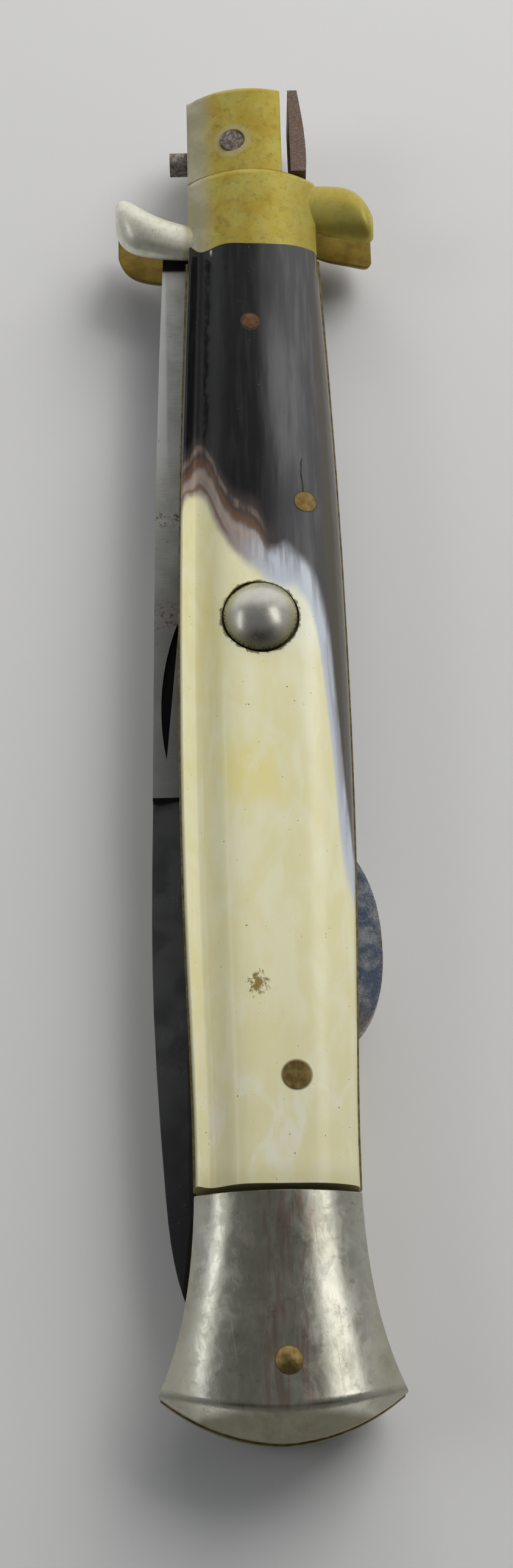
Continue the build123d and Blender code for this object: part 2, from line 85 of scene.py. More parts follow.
# Key, back and fill only light the knife; the two windows are what its metal mirrors
SKY = (0.95, 0.98, 1.0)
softbox("key", (0.34, 0.39, 0.42), (0.40, 0.50), 3.35, (1.0, 0.985, 0.96), mirrored=False)
softbox("back", (0.05, 0.50, 0.35), (0.50, 0.20), 1.1, (1.0, 0.98, 0.94), mirrored=False)
softbox("window_right", (0.37, 0.14, 0.55), (0.42, 0.21), 0.33, (1.0, 0.99, 0.97))
softbox("window_left", (-0.45, 0.06, 0.40), (0.40, 0.08), 0.14, SKY)
softbox("fill_left", (-0.60, 0.0, 0.40), (0.30, 0.50), 0.7, SKY, mirrored=False)

# Shares of the room's brightness, which are added up: an axis of the direction looked in, the two
# limits on it, and the brightness at each
CEILING = ("Z", 0.30, 0.88, 0.28, 0.09)
BEYOND_GUARD = ("Y", 0.40, 0.85, 0.0, 0.36)
BEHIND_CAMERA = ("Y", -0.75, -0.20, -0.16, 0.0)
WALL_COLOUR = (0.97, 0.985, 1.0, 1)


def room():
    """A dim ceiling over brighter walls, the brightest beyond the guard and the darkest behind the camera."""
    surroundings = bpy.data.worlds.new("studio")
    surroundings.use_nodes = True
    tree = surroundings.node_tree
    direction = tree.nodes.new("ShaderNodeTexCoord").outputs["Generated"]
    parts = tree.nodes.new("ShaderNodeSeparateXYZ")
    tree.links.new(direction, parts.inputs[0])
    shares = []
    for axis, *ends in (CEILING, BEYOND_GUARD, BEHIND_CAMERA):
        fade = tree.nodes.new("ShaderNodeMapRange")
        fade.interpolation_type = "SMOOTHSTEP"
        tree.links.new(parts.outputs[axis], fade.inputs["Value"])
        for name, value in zip(("From Min", "From Max", "To Min", "To Max"), ends):
            fade.inputs[name].default_value = value
        shares.append(fade.outputs["Result"])
    total = shares[0]
    for share in shares[1:]:
        add = tree.nodes.new("ShaderNodeMath")
        tree.links.new(total, add.inputs[0])
        tree.links.new(share, add.inputs[1])
        total = add.outputs[0]
    background = tree.nodes["Background"]
    background.inputs["Color"].default_value = WALL_COLOUR
    tree.links.new(total, background.inputs["Strength"])
    return surroundings


bpy.context.scene.world = room()
bpy.context.scene.view_settings.view_transform = "Standard"


# ---------------------------------------------------------------- writing materials
BEVEL_SAMPLES = 4


class Look:
    """A node material, written in millimetres of the part's own frame."""

    def __init__(self, name):
        self.material = bpy.data.materials.new(name)
        self.material.use_nodes = True
        self.tree = self.material.node_tree
        self.tree.nodes.clear()
        output = self.tree.nodes.new("ShaderNodeOutputMaterial")
        self.shader = self.tree.nodes.new("ShaderNodeBsdfPrincipled")
        self.tree.links.new(self.shader.outputs["BSDF"], output.inputs["Surface"])
        coordinate = self.tree.nodes.new("ShaderNodeTexCoord").outputs["Object"]
        self.place = self.vector("SCALE", coordinate, scale=1 / MM)
        self.x, self.y, self.z = self.split(self.place)
        crossed = self.vector("CROSS_PRODUCT", self.place, (0.0, 0.0, 1.0))
        self.swapped = self.vector("MULTIPLY", crossed, (1.0, -1.0, 1.0))  # (y, x, 0)

    def _fill(self, socket, value):
        """Links an output to the socket, or sets it to a plain value."""
        if isinstance(value, bpy.types.NodeSocket):
            self.tree.links.new(value, socket)
        else:
            socket.default_value = value

    def vector(self, operation, a, b=None, scale=None):
        node = self.tree.nodes.new("ShaderNodeVectorMath")
        node.operation = operation
        self._fill(node.inputs[0], a)
        if b is not None:
            self._fill(node.inputs[1], b)
        if scale is not None:
            node.inputs["Scale"].default_value = scale
        return node.outputs[0]

    def split(self, vector):
        node = self.tree.nodes.new("ShaderNodeSeparateXYZ")
        self._fill(node.inputs[0], vector)
        return node.outputs[0], node.outputs[1], node.outputs[2]

    def math(self, operation, a, b=None):
        node = self.tree.nodes.new("ShaderNodeMath")
        node.operation = operation
        self._fill(node.inputs[0], a)
        if b is not None:
            self._fill(node.inputs[1], b)
        return node.outputs[0]

    def plus(self, a, b):
        return self.math("ADD", a, b)

    def minus(self, a, b):
        return self.math("SUBTRACT", a, b)

    def noise(self, size, detail=3.0, roughness=0.55, stretch=(1, 1, 1), distortion=0.0, shift=0.0,
              place=None):
        """Fractal noise from 0 to 1 whose blobs are about `size` millimetres, stretched along the axes."""
        spread = self.vector("MULTIPLY", place or self.place, tuple(1 / (size * s) for s in stretch))
        moved = self.vector("ADD", spread, (shift, 1.7 * shift, 0.6 * shift))
        node = self.tree.nodes.new("ShaderNodeTexNoise")
        self._fill(node.inputs["Vector"], moved)
        node.inputs["Scale"].default_value = 1.0
        node.inputs["Detail"].default_value = detail
        node.inputs["Roughness"].default_value = roughness
        node.inputs["Distortion"].default_value = distortion
        return node.outputs["Fac"]

    def step(self, value, low, high):
        """0 below low, 1 above high, smooth between; the other way round where low is above high."""
        node = self.tree.nodes.new("ShaderNodeMapRange")
        node.interpolation_type = "SMOOTHSTEP"
        flip = low > high
        self._fill(node.inputs["Value"], value)
        node.inputs["From Min"].default_value = high if flip else low
        node.inputs["From Max"].default_value = low if flip else high
        node.inputs["To Min"].default_value = 1.0 if flip else 0.0
        node.inputs["To Max"].default_value = 0.0 if flip else 1.0
        return node.outputs["Result"]

    def band(self, value, middle, half, soft):
        """1 where value is within half of middle, falling to 0 over soft."""
        away = self.math("ABSOLUTE", self.minus(value, middle))
        return self.step(away, half + soft, half)

    def mix(self, amount, a, b):
        """Colour a where amount is 0, b where it is 1."""
        node = self.tree.nodes.new("ShaderNodeMix")
        node.data_type = "RGBA"
        colours = [socket for socket in node.inputs if socket.type == "RGBA"]
        self._fill(node.inputs[0], amount)
        for socket, value in zip(colours, (a, b)):
            self._fill(socket, (*value, 1) if isinstance(value, tuple) else value)
        return [socket for socket in node.outputs if socket.type == "RGBA"][0]

    def blend(self, amount, a, b):
        """Number a where amount is 0, b where it is 1."""
        node = self.tree.nodes.new("ShaderNodeMix")
        node.data_type = "FLOAT"
        self._fill(node.inputs[0], amount)
        self._fill(node.inputs[2], a)
        self._fill(node.inputs[3], b)
        return node.outputs[0]

    def times(self, *values):
        product = values[0]
        for value in values[1:]:
            product = self.math("MULTIPLY", product, value)
        return product

    def swing(self, noise, reach):
        """The noise moved to lie round 0, as wide as reach."""
        return self.times(self.minus(noise, 0.5), reach)

    def paint(self, colour, tint, *amounts):
        """The colour under the tint, which covers it as far as the product of the amounts."""
        return self.mix(self.times(*amounts), colour, tint)

    def most(self, *values):
        top = values[0]
        for value in values[1:]:
            top = self.math("MAXIMUM", top, value)
        return top

    def distance(self, x, y):
        """Plan distance in millimetres from a point."""
        across = self.minus(self.x, x)
        along = self.minus(self.y, y)
        squares = self.plus(self.times(across, across), self.times(along, along))
        return self.math("SQRT", squares)

    def curve(self, value, span, points, reach):
        """A smooth curve through points (value, result); span and reach are the ranges of the two."""
        low, high = span
        bottom, top = reach
        node = self.tree.nodes.new("ShaderNodeFloatCurve")
        line = node.mapping.curves[0]
        places = [((x - low) / (high - low), (y - bottom) / (top - bottom)) for x, y in points]
        for x, y in places[1:-1]:
            line.points.new(x, y)
        line.points[0].location = places[0]
        line.points[-1].location = places[-1]
        node.mapping.update()
        self._fill(node.inputs["Value"], self.math("DIVIDE", self.minus(value, low), high - low))
        return self.plus(self.times(node.outputs[0], top - bottom), bottom)

    def bump(self, height, depth, rounding=None):
        """Raises the surface by height times depth, in millimetres, on edges rounded by the radius given."""
        node = self.tree.nodes.new("ShaderNodeBump")
        node.inputs["Strength"].default_value = 1.0
        node.inputs["Distance"].default_value = depth * MM
        self._fill(node.inputs["Height"], height)
        if rounding:
            bevel = self.tree.nodes.new("ShaderNodeBevel")
            bevel.samples = BEVEL_SAMPLES
            bevel.inputs["Radius"].default_value = rounding * MM
            self.tree.links.new(bevel.outputs["Normal"], node.inputs["Normal"])
        self.tree.links.new(node.outputs["Normal"], self.shader.inputs["Normal"])

    def finish(self, colour, roughness, metallic=0.0, **extra):
        self._fill(self.shader.inputs["Base Color"], colour)
        self._fill(self.shader.inputs["Roughness"], roughness)
        self._fill(self.shader.inputs["Metallic"], metallic)
        for name, value in extra.items():
            self.shader.inputs[name.replace("_", " ").title()].default_value = value
        return self.material


# ---------------------------------------------------------------- the materials
# Colours are linear. A pair in capitals that ends in _X, _Y, _Z or _R holds the two limits of a step, in
# millimetres of the part's frame; a name that ends in _AT is a middle, in the same frame.
def scratches(look, shift):
    """Fine scratches, nearly along the knife."""
    leaning = look.vector("ADD", look.place, look.vector("SCALE", look.swapped, scale=0.12))
    marks = look.noise(0.07, detail=1, stretch=(1, 70, 30), shift=shift, place=leaning)
    return look.step(marks, 0.66, 0.76)


OLIVE_BRASS, LIGHT_BRASS = (0.52, 0.40, 0.062), (0.56, 0.48, 0.115)
OCHRE_BRASS, DIRTY_BRASS, RIGHT_SHEEN_BRASS = (0.46, 0.29, 0.035), (0.24, 0.19, 0.05), (0.52, 0.47, 0.12)
SHADED_BRASS, LIGHT_SHADED_BRASS = (0.20, 0.125, 0.022), (0.34, 0.25, 0.05)
WORN_GREY, LIGHT_WORN_GREY = (0.40, 0.39, 0.28), (0.60, 0.58, 0.48)
HORN_SILVER, HORN_DULL = (0.84, 0.82, 0.69), (0.68, 0.66, 0.54)
HALO_GREY, PIT_BROWN = (0.55, 0.55, 0.42), (0.07, 0.06, 0.02)
WORN_X, HORN_X, RIGHT_SHEEN_X = (-3.2, -5.4), (-6.2, -7.0), (2.0, 6.0)
HALO_RADIUS = 1.5


def guard_metal(name, worn):
    """Brass with an olive patina, a painted lighter sheen on the right and, by the share worn, a nickel grey
    left side; where that is 0, a darker brown that paints the shade the rear casting lies in.
    """
    look = Look(name)
    cloud = look.noise(3.6, detail=4, distortion=0.5)
    blotch = look.noise(0.7, detail=6, roughness=0.7, shift=5)
    ochre = look.noise(2.2, detail=4, stretch=(1, 1.6, 1), shift=12)
    colour = look.mix(look.step(cloud, 0.36, 0.66), OLIVE_BRASS, LIGHT_BRASS)
    colour = look.paint(colour, OCHRE_BRASS, look.step(ochre, 0.46, 0.66), 0.45)
    colour = look.paint(colour, DIRTY_BRASS, look.step(blotch, 0.48, 0.68), 0.45)
    grey = look.mix(look.step(cloud, 0.35, 0.7), WORN_GREY, LIGHT_WORN_GREY)
    side = look.plus(look.x, look.swing(cloud, 2.0))
    colour = look.paint(colour, grey, look.step(side, *WORN_X), worn, 0.8)
    horn = look.times(look.step(look.x, *HORN_X), worn)
    colour = look.mix(horn, colour, look.mix(look.step(blotch, 0.40, 0.70), HORN_SILVER, HORN_DULL))
    # Painted sheen: the right side, which faces the light, is painted a lighter yellow brass
    colour = look.paint(colour, RIGHT_SHEEN_BRASS, look.step(look.x, *RIGHT_SHEEN_X), 0.3)
    # Painted shade: the rear casting is drawn as a darker brown brass, for the shadow it lies in
    if not worn:
        shade_brown = look.step(look.noise(2.0, shift=33), 0.3, 0.7)
        colour = look.mix(shade_brown, SHADED_BRASS, LIGHT_SHADED_BRASS)
    # Pale ring round the pivot pin, and small pits
    px, py, _ = centre("pivot_pin")
    colour = look.paint(colour, HALO_GREY, look.band(look.distance(px, py), HALO_RADIUS, 0.1, 0.45), 0.35)
    pits = look.step(look.noise(0.22, detail=2, shift=9), 0.69, 0.76)
    colour = look.paint(colour, PIT_BROWN, pits, 0.6)
    sunk = look.plus(pits, look.times(scratches(look, 1), 0.15))
    look.bump(look.minus(look.times(cloud, 0.3), sunk), 0.02, rounding=0.22)
    rough = look.plus(look.blend(horn, 0.32, 0.24), look.times(blotch, 0.12))
    return look.finish(colour, rough, look.blend(horn, 0.60, 0.55))


NICKEL, LIGHT_NICKEL = (0.66, 0.645, 0.53), (0.80, 0.785, 0.68)
PINK_NICKEL, MATT_NICKEL = (0.62, 0.44, 0.36), (0.27, 0.245, 0.155)
OLIVE_NICKEL, STAINED_NICKEL = (0.40, 0.395, 0.27), (0.34, 0.30, 0.20)
HEEL_Y, FLANK_X = (-62.0, -63.0), (6.3, 8.0)
HEEL_BOW = 0.012  # the end bevel's edge bows as this times x squared


def nickel_silver():
    """Polished nickel silver, gone matt and beige on the end bevel and the sides."""
    look = Look("polished_nickel_silver")
    cloud = look.noise(3.2, detail=4, distortion=0.4, stretch=(1, 1.8, 1))
    stain = look.noise(0.9, detail=6, roughness=0.65, shift=4)
    flow = look.noise(0.55, detail=4, stretch=(1, 9, 1), distortion=0.3, shift=19)
    colour = look.mix(look.step(cloud, 0.35, 0.65), NICKEL, LIGHT_NICKEL)
    pink = look.times(look.step(flow, 0.46, 0.60), look.band(look.x, 0.4, 1.2, 2.0))
    colour = look.paint(colour, PINK_NICKEL, pink, 0.8)
    heel = look.step(look.plus(look.y, look.times(look.x, look.x, HEEL_BOW)), *HEEL_Y)
    flank = look.step(look.math("ABSOLUTE", look.x), *FLANK_X)
    matt = look.most(heel, look.times(flank, 0.55))
    colour = look.paint(colour, MATT_NICKEL, matt, 0.8)
    middle = look.band(look.x, -1.6, 1.8, 2.4)
    colour = look.paint(colour, OLIVE_NICKEL, middle, look.step(cloud, 0.42, 0.62), 0.55)
    colour = look.paint(colour, STAINED_NICKEL, look.step(stain, 0.54, 0.70), 0.45)
    marks = scratches(look, 2)
    look.bump(look.minus(look.times(cloud, 0.8), look.times(marks, 0.02)), 0.02, rounding=0.15)
    smudge = look.noise(1.3, detail=5, roughness=0.65, stretch=(1, 1.5, 1), distortion=0.6, shift=37)
    polish = look.plus(0.17, look.times(look.step(smudge, 0.36, 0.70), 0.15))
    rough = look.plus(look.plus(polish, look.times(matt, 0.22)), look.times(marks, 0.12))
    return look.finish(colour, rough, look.blend(matt, 0.95, 0.6))


SATIN, LIGHT_SATIN, GRAIN_GREY = (0.47, 0.47, 0.44), (0.60, 0.59, 0.56), (0.30, 0.30, 0.30)
# Painted shade and painted dark reflection: the shaded steel, and the near black steels of the swedge and its
# tip on this line and the next
SHADED_STEEL, EDGE_STEEL, DARKEST_REFLECTION_STEEL = (0.16, 0.16, 0.165), (0.78, 0.78, 0.76), (0.05, 0.05, 0.053)
DARK_REFLECTION_STEEL, LIGHT_DARK_REFLECTION_STEEL = (0.085, 0.086, 0.09), (0.13, 0.13, 0.132)
GUARD_SHADE, NICK_AND_STEP_SHADE_BLACK, BLADE_RUST = (0.015, 0.013, 0.012), (0.006, 0.006, 0.007), (0.12, 0.06, 0.035)
SHADED_Y, POINT_Y, TIP_Y, LUG_Y = (20.0, 8.0), (-9.2, -9.6), (-30.0, -50.0), (56.8, 57.6)
EDGE_X, EDGE_Y = (-8.35, -8.7), (21.0, 27.0)
GUARD_SHADE_AT, STEP_SHADE_AT, RUST_AT = 48.3, -9.35, (8.6, 18.6)  # all along Y
NICK_AT, NICK_HALF, NICK_Z = (-8.4, 1.4), (0.9, 6.9), (7.12, 7.0)


def blade_steel():
    """Satin steel with painted shade and a painted dark reflection towards the point, painted shade in the
    guard and along the swedge's step, a black nail nick, and rust at the nick and the lug.
    """
    look = Look("blade_steel")
    grain = look.noise(0.10, detail=3, stretch=(14, 1, 1))
    cloud = look.noise(3.5, detail=4)
    satin = look.mix(look.step(cloud, 0.35, 0.65), SATIN, LIGHT_SATIN)
    satin = look.paint(satin, GRAIN_GREY, look.step(grain, 0.45, 0.62), 0.25)
    # Painted shade: the satin darkens towards the swedge
    satin = look.paint(satin, SHADED_STEEL, look.step(look.y, *SHADED_Y), 0.65)
    # Painted dark reflection: the swedge is coloured near black for the dark side of the room it mirrors,
    # darkest towards the tip
    dark = look.mix(look.step(cloud, 0.4, 0.6), DARK_REFLECTION_STEEL, LIGHT_DARK_REFLECTION_STEEL)
    dark = look.mix(look.step(look.y, *TIP_Y), dark, DARKEST_REFLECTION_STEEL)
    point = look.step(look.y, *POINT_Y)
    colour = look.mix(point, satin, dark)
    colour = look.paint(colour, EDGE_STEEL, look.step(look.x, *EDGE_X), look.step(look.y, *EDGE_Y), 0.7)
    # Painted shadow: near black on the blade where it runs in under the quillons
    colour = look.mix(look.band(look.y, GUARD_SHADE_AT, 2.4, 0.4), colour, GUARD_SHADE)
    # Painted shade: a black line along the swedge's step, drawn in the same black as the nail nick
    line = look.band(look.y, STEP_SHADE_AT, 0.10, 0.12)
    nick = look.times(look.step(look.z, *NICK_Z), look.band(look.x, NICK_AT[0], NICK_HALF[0], 0.1),
                      look.band(look.y, NICK_AT[1], NICK_HALF[1], 0.2))
    colour = look.mix(look.most(line, nick), colour, NICK_AND_STEP_SHADE_BLACK)
    rust_cloud = look.noise(0.5, detail=6, roughness=0.75, shift=11)
    rust_zone = look.noise(5.0, detail=2, shift=2)
    rust = look.times(look.step(rust_cloud, 0.60, 0.68), look.step(rust_zone, 0.47, 0.60))
    spots = look.most(look.band(look.y, RUST_AT[0], 0.5, 1.6), look.band(look.y, RUST_AT[1], 0.3, 0.9))
    spots = look.times(spots, look.step(rust_cloud, 0.50, 0.60))
    lug = look.times(look.step(look.y, *LUG_Y), look.step(rust_cloud, 0.30, 0.62))
    rust = look.most(rust, spots, lug)
    colour = look.paint(colour, BLADE_RUST, rust, 0.8)
    look.bump(look.minus(look.times(grain, 0.2), rust), 0.012, rounding=0.08)
    rough = look.blend(rust, look.blend(point, look.blend(grain, 0.26, 0.38), 0.22), 0.75)
    return look.finish(colour, rough, look.blend(point, 0.6, 0.75))


SPRING_STEEL, LIGHT_SPRING_STEEL = (0.30, 0.30, 0.31), (0.52, 0.52, 0.53)
BLUED, LIGHT_BLUED = (0.17, 0.22, 0.32), (0.50, 0.52, 0.56)
DEEP_RUST, LIGHT_RUST = (0.105, 0.055, 0.035), (0.24, 0.17, 0.13)
LOBE_FROM_Y, LOBE_TO_Y, HEAD_Y = (-33.0, -29.5), (-13.0, -17.0), (53.5, 55.0)
LOBE_RUST_Y, LOBE_RIM_X = (-26.5, -30.5), (9.0, 9.6)


def spring_steel():
    """Grey spring steel; on the lock bar, rusty at the head and blued at the lobe."""
    look = Look("spring_steel")
    cloud = look.noise(1.6, detail=5)
    grit = look.noise(0.25, detail=5, roughness=0.7, shift=7)
    steel = look.mix(cloud, SPRING_STEEL, LIGHT_SPRING_STEEL)
    lobe = look.times(look.step(look.y, *LOBE_FROM_Y), look.step(look.y, *LOBE_TO_Y))
    colour = look.mix(lobe, steel, look.mix(look.step(cloud, 0.4, 0.62), BLUED, LIGHT_BLUED))
    head = look.times(look.step(look.y, *HEAD_Y), look.step(grit, 0.25, 0.5))
    heel = look.times(look.step(look.y, *LOBE_RUST_Y), look.step(grit, 0.42, 0.55), 0.85)
    rim = look.times(look.step(look.x, *LOBE_RIM_X), look.step(grit, 0.46, 0.56))
    rust = look.most(head, heel, rim, look.times(look.step(grit, 0.60, 0.68), 0.6))
    colour = look.mix(rust, colour, look.mix(look.step(grit, 0.4, 0.65), DEEP_RUST, LIGHT_RUST))
    look.bump(grit, 0.05, rounding=0.12)
    return look.finish(colour, look.blend(rust, 0.24, 0.62), look.blend(rust, 0.95, 0.35))


RUSTY_PIN, WORN_PIN = (0.13, 0.085, 0.06), (0.44, 0.39, 0.35)


def dark_steel():
    """Pins gone rough and brown."""
    look = Look("rusty_steel")
    grit = look.noise(0.35, detail=6, roughness=0.7)
    colour = look.mix(look.step(grit, 0.35, 0.68), RUSTY_PIN, WORN_PIN)
    look.bump(grit, 0.12, rounding=0.08)
    return look.finish(colour, look.blend(grit, 0.40, 0.65), 0.75)


def brass(name, light, dark, rough):
    """Dull brass or copper between two colours, with fine scratches."""
    look = Look(name)
    cloud = look.noise(0.8, detail=5, roughness=0.65)
    marks = scratches(look, 6)
    colour = look.mix(look.step(cloud, 0.34, 0.66), dark, light)
    look.bump(look.minus(look.times(cloud, 0.5), look.times(marks, 0.5)), 0.03, rounding=0.06)
    return look.finish(colour, look.blend(cloud, rough, rough + 0.2), 0.92)


DOME_SILVER, LIGHT_DOME_SILVER = (0.78, 0.75, 0.65), (0.88, 0.85, 0.76)
BASE_METAL, RIM_DIRT, DOME_NICK = (0.46, 0.42, 0.19), (0.12, 0.11, 0.045), (0.2, 0.13, 0.08)
RIM_R, RIM_DIRT_R = (2.2, 3.2), (3.0, 3.28)


def nickel_button():
    """Satin nickel dome, worn down to its yellowish base metal round the rim."""
    look = Look("nickel_button")
    px, py, _ = centre("button")
    away = look.distance(px, py)
    cloud = look.noise(1.1, detail=5, roughness=0.6)
    fine = look.noise(0.2, detail=4, roughness=0.7, shift=6)
    colour = look.mix(look.step(cloud, 0.35, 0.65), DOME_SILVER, LIGHT_DOME_SILVER)
    rim = look.step(look.plus(away, look.swing(cloud, 0.8)), *RIM_R)
    colour = look.paint(colour, BASE_METAL, rim, 0.85)
    colour = look.paint(colour, RIM_DIRT, look.step(away, *RIM_DIRT_R), look.step(fine, 0.35, 0.6))
    nicks = look.step(look.noise(0.32, detail=2, shift=13), 0.71, 0.76)
    colour = look.mix(nicks, colour, DOME_NICK)
    look.bump(look.minus(look.times(fine, 0.15), nicks), 0.015)
    return look.finish(colour, look.plus(0.22, look.times(cloud, 0.12)), 0.9)


CHARCOAL, GREY_SHEEN_CHARCOAL = (0.005, 0.005, 0.0055), (0.058, 0.058, 0.062)
HAZE, PAINTED_HIGHLIGHT, WARM_EDGE = (0.125, 0.12, 0.125), (0.20, 0.193, 0.197), (0.075, 0.066, 0.054)
GREY_SHEEN_X, WARM_EDGE_X = (-0.6, 3.0), (5.0, 6.4)
PAINTED_HIGHLIGHT_AT = (2.6, 29.0)
IVORY, LIGHT_IVORY, CREAM = (0.70, 0.66, 0.39), (0.73, 0.71, 0.49), (0.69, 0.62, 0.31)
YELLOW_PATCH, LEFT_YELLOW, PALE_CLOUD = (0.71, 0.63, 0.24), (0.69, 0.60, 0.26), (0.76, 0.77, 0.66)
PATCH_AT, LEFT_PATCH_AT, CLOUD_AT = (-1.6, -9.0), (-5.0, 4.0), (3.6, 7.0)
PATCH_R, CLOUD_R, CLOUD_Y = (5.2, 1.2), (6.0, 2.5), (-32.0, -42.0)

# The seam's two edges as (x, y) points, and the ranges their curves lie in
SEAM_X, SEAM_Y = (-8.0, 8.0), (-22.0, 26.0)
CHARCOAL_EDGE = [(-8.0, 19.0), (-6.6, 21.3), (-5.4, 23.0), (-4.4, 21.5), (-3.7, 19.2), (-2.9, 17.5),
                 (-1.8, 16.2), (-0.5, 15.6), (0.2, 14.4), (0.8, 13.3), (2.2, 13.8), (3.6, 12.8),
                 (5.0, 10.6), (5.9, 6.8), (6.4, 0.0), (7.0, -10.0), (8.0, -22.0)]
IVORY_EDGE = [(-8.0, 15.5), (-7.2, 17.3), (-6.4, 18.9), (-5.6, 19.1), (-4.9, 18.3), (-4.4, 16.7),
              (-3.5, 14.4), (-2.1, 12.2), (-0.6, 10.6), (1.0, 9.4), (3.0, 8.8), (4.4, 6.5),
              (5.3, 0.0), (5.9, -8.0), (6.6, -18.0), (8.0, -22.0)]
NARROWEST_SEAM = 0.5
WARM_MILK, BLUE_MILK, MILK_STREAK = (0.27, 0.23, 0.21), (0.47, 0.51, 0.57), (0.14, 0.125, 0.13)
SMOKE, INNER_BROWN, OUTER_BROWN = (0.055, 0.043, 0.04), (0.15, 0.075, 0.04), (0.125, 0.060, 0.033)
TAN, UNDER_BROWN = (0.27, 0.20, 0.15), (0.36, 0.26, 0.19)
SMOKE_X, BLUE_X = (2.6, 0.2), (-2.6, 1.2)
INNER_X, OUTER_X, TAN_X = (-2.4, -3.6), (1.2, -0.2), (0.8, -0.6)

GRIME, PAINTED_END_SHADE, PAINTED_FALLOFF_SHADE = (0.055, 0.045, 0.015), (0.42, 0.38, 0.17), (0.50, 0.46, 0.30)
GRIME_RADIUS = {"lock_bar_pin": 1.0, "spacer_pin": 1.2, "front_scale_rivet": 0.8}
BUTTON_GRIME_R, END_SHADE_Y, FALLOFF_SHADE_Y = (3.68, 3.5), (-42.6, -44.8), (-20.0, -46.0)
CHIP_GREY, SPECK_BROWN, CHIP_Y = (0.55, 0.53, 0.52), (0.10, 0.07, 0.03), (45.0, 45.9)
BURN_BROWN, CRACK_BLACK = (0.21, 0.125, 0.015), (0.01, 0.01, 0.01)
BURN_AT, BURN_R = (-1.2, -27.9), (0.95, 0.45)
CRACK_FROM_PIN = (-0.25, 2.6)


def charcoal_part(look, streak, broad):
    """Charcoal, greyer to the right of the centre line, partly its own grey and partly a painted reflection,
    with a broad painted highlight.
    """
    # Partly the celluloid's own grey and partly a painted reflection on the side that tilts to the right
    grey_sheen_side = look.step(look.plus(look.x, look.swing(broad, 2.4)), *GREY_SHEEN_X)
    colour = look.mix(grey_sheen_side, CHARCOAL, GREY_SHEEN_CHARCOAL)
    colour = look.paint(colour, HAZE, look.step(streak, 0.44, 0.72), look.blend(grey_sheen_side, 0.06, 0.38))
    # Painted highlight: a broad pale patch on the charcoal
    painted_highlight = look.times(look.band(look.x, PAINTED_HIGHLIGHT_AT[0], 0.6, 1.8), look.band(look.y, PAINTED_HIGHLIGHT_AT[1], 4.0, 8.0))
    colour = look.paint(colour, PAINTED_HIGHLIGHT, painted_highlight, look.step(broad, 0.3, 0.6), 0.4)
    return look.mix(look.step(look.x, *WARM_EDGE_X), colour, WARM_EDGE)


def ivory_part(look, broad):
    """Ivory with yellow patches and whiter clouds."""
    wisp = look.noise(2.4, detail=5, distortion=0.7, stretch=(1, 2.2, 1), shift=8)
    patch = look.noise(2.1, detail=4, distortion=0.5, stretch=(1, 1.5, 1), shift=21)
    colour = look.mix(look.step(wisp, 0.36, 0.64), IVORY, LIGHT_IVORY)
    colour = look.paint(colour, CREAM, look.step(broad, 0.52, 0.72), 0.20)
    near_patch = look.times(look.step(look.distance(*PATCH_AT), *PATCH_R), look.step(patch, 0.40, 0.60))
    colour = look.paint(colour, YELLOW_PATCH, near_patch, 0.65)
    left_patch = look.times(look.band(look.x, LEFT_PATCH_AT[0], 0.5, 1.3),
                            look.band(look.y, LEFT_PATCH_AT[1], 4.0, 7.0))
    colour = look.paint(colour, LEFT_YELLOW, left_patch, look.step(broad, 0.35, 0.65), 0.6)
    low_cloud = look.times(look.step(look.y, *CLOUD_Y), look.step(wisp, 0.50, 0.62))
    high_cloud = look.times(look.step(look.distance(*CLOUD_AT), *CLOUD_R), 0.8)
    return look.paint(colour, PALE_CLOUD, look.most(low_cloud, high_cloud), 0.8)


def with_seam(look, streak, ivory, charcoal):
    """Joins the two along a wavy seam: high on the left, falling to the right, then down the right edge."""
    upper = look.curve(look.x, SEAM_X, CHARCOAL_EDGE, SEAM_Y)
    lower = look.curve(look.x, SEAM_X, IVORY_EDGE, SEAM_Y)
    waver = look.swing(look.noise(1.3, detail=3, stretch=(1, 2, 1), shift=15), 1.5)
    height = look.plus(look.y, waver)
    gap = look.math("MAXIMUM", look.minus(upper, lower), NARROWEST_SEAM)
    above = look.math("DIVIDE", look.minus(height, lower), gap)  # 0 at the ivory, 1 at the charcoal
    over = look.minus(height, upper)
    milk = look.mix(look.step(look.x, *BLUE_X), WARM_MILK, BLUE_MILK)
    milk = look.paint(milk, MILK_STREAK, look.step(streak, 0.42, 0.62), look.step(above, 0.1, 0.7), 0.5)
    colour = look.mix(look.step(above, -0.15, 0.22), ivory, milk)
    smoke = look.mix(look.step(over, 0.6, 3.4), SMOKE, charcoal)
    dark = look.mix(look.step(look.x, *SMOKE_X), charcoal, smoke)
    colour = look.mix(look.step(above, 0.62, 1.05), colour, dark)

    # Brown lines along it
    inner = look.times(look.band(above, 0.30, 0.03, 0.10), look.step(look.x, *INNER_X))
    colour = look.paint(colour, INNER_BROWN, inner, 0.75)
    outer = look.times(look.band(over, -0.2, 0.15, 0.65), look.step(look.x, *OUTER_X))
    colour = look.paint(colour, OUTER_BROWN, outer, look.blend(look.step(streak, 0.35, 0.65), 0.6, 1.0))
    tan = look.times(look.band(over, 1.15, 0.1, 0.5), look.step(look.x, *TAN_X))
    colour = look.paint(colour, TAN, tan, look.step(streak, 0.36, 0.60), 0.45)
    under = look.times(look.band(over, -1.5, 0.1, 0.6), look.step(look.x, *TAN_X))
    return look.paint(colour, UNDER_BROWN, under, 0.45)


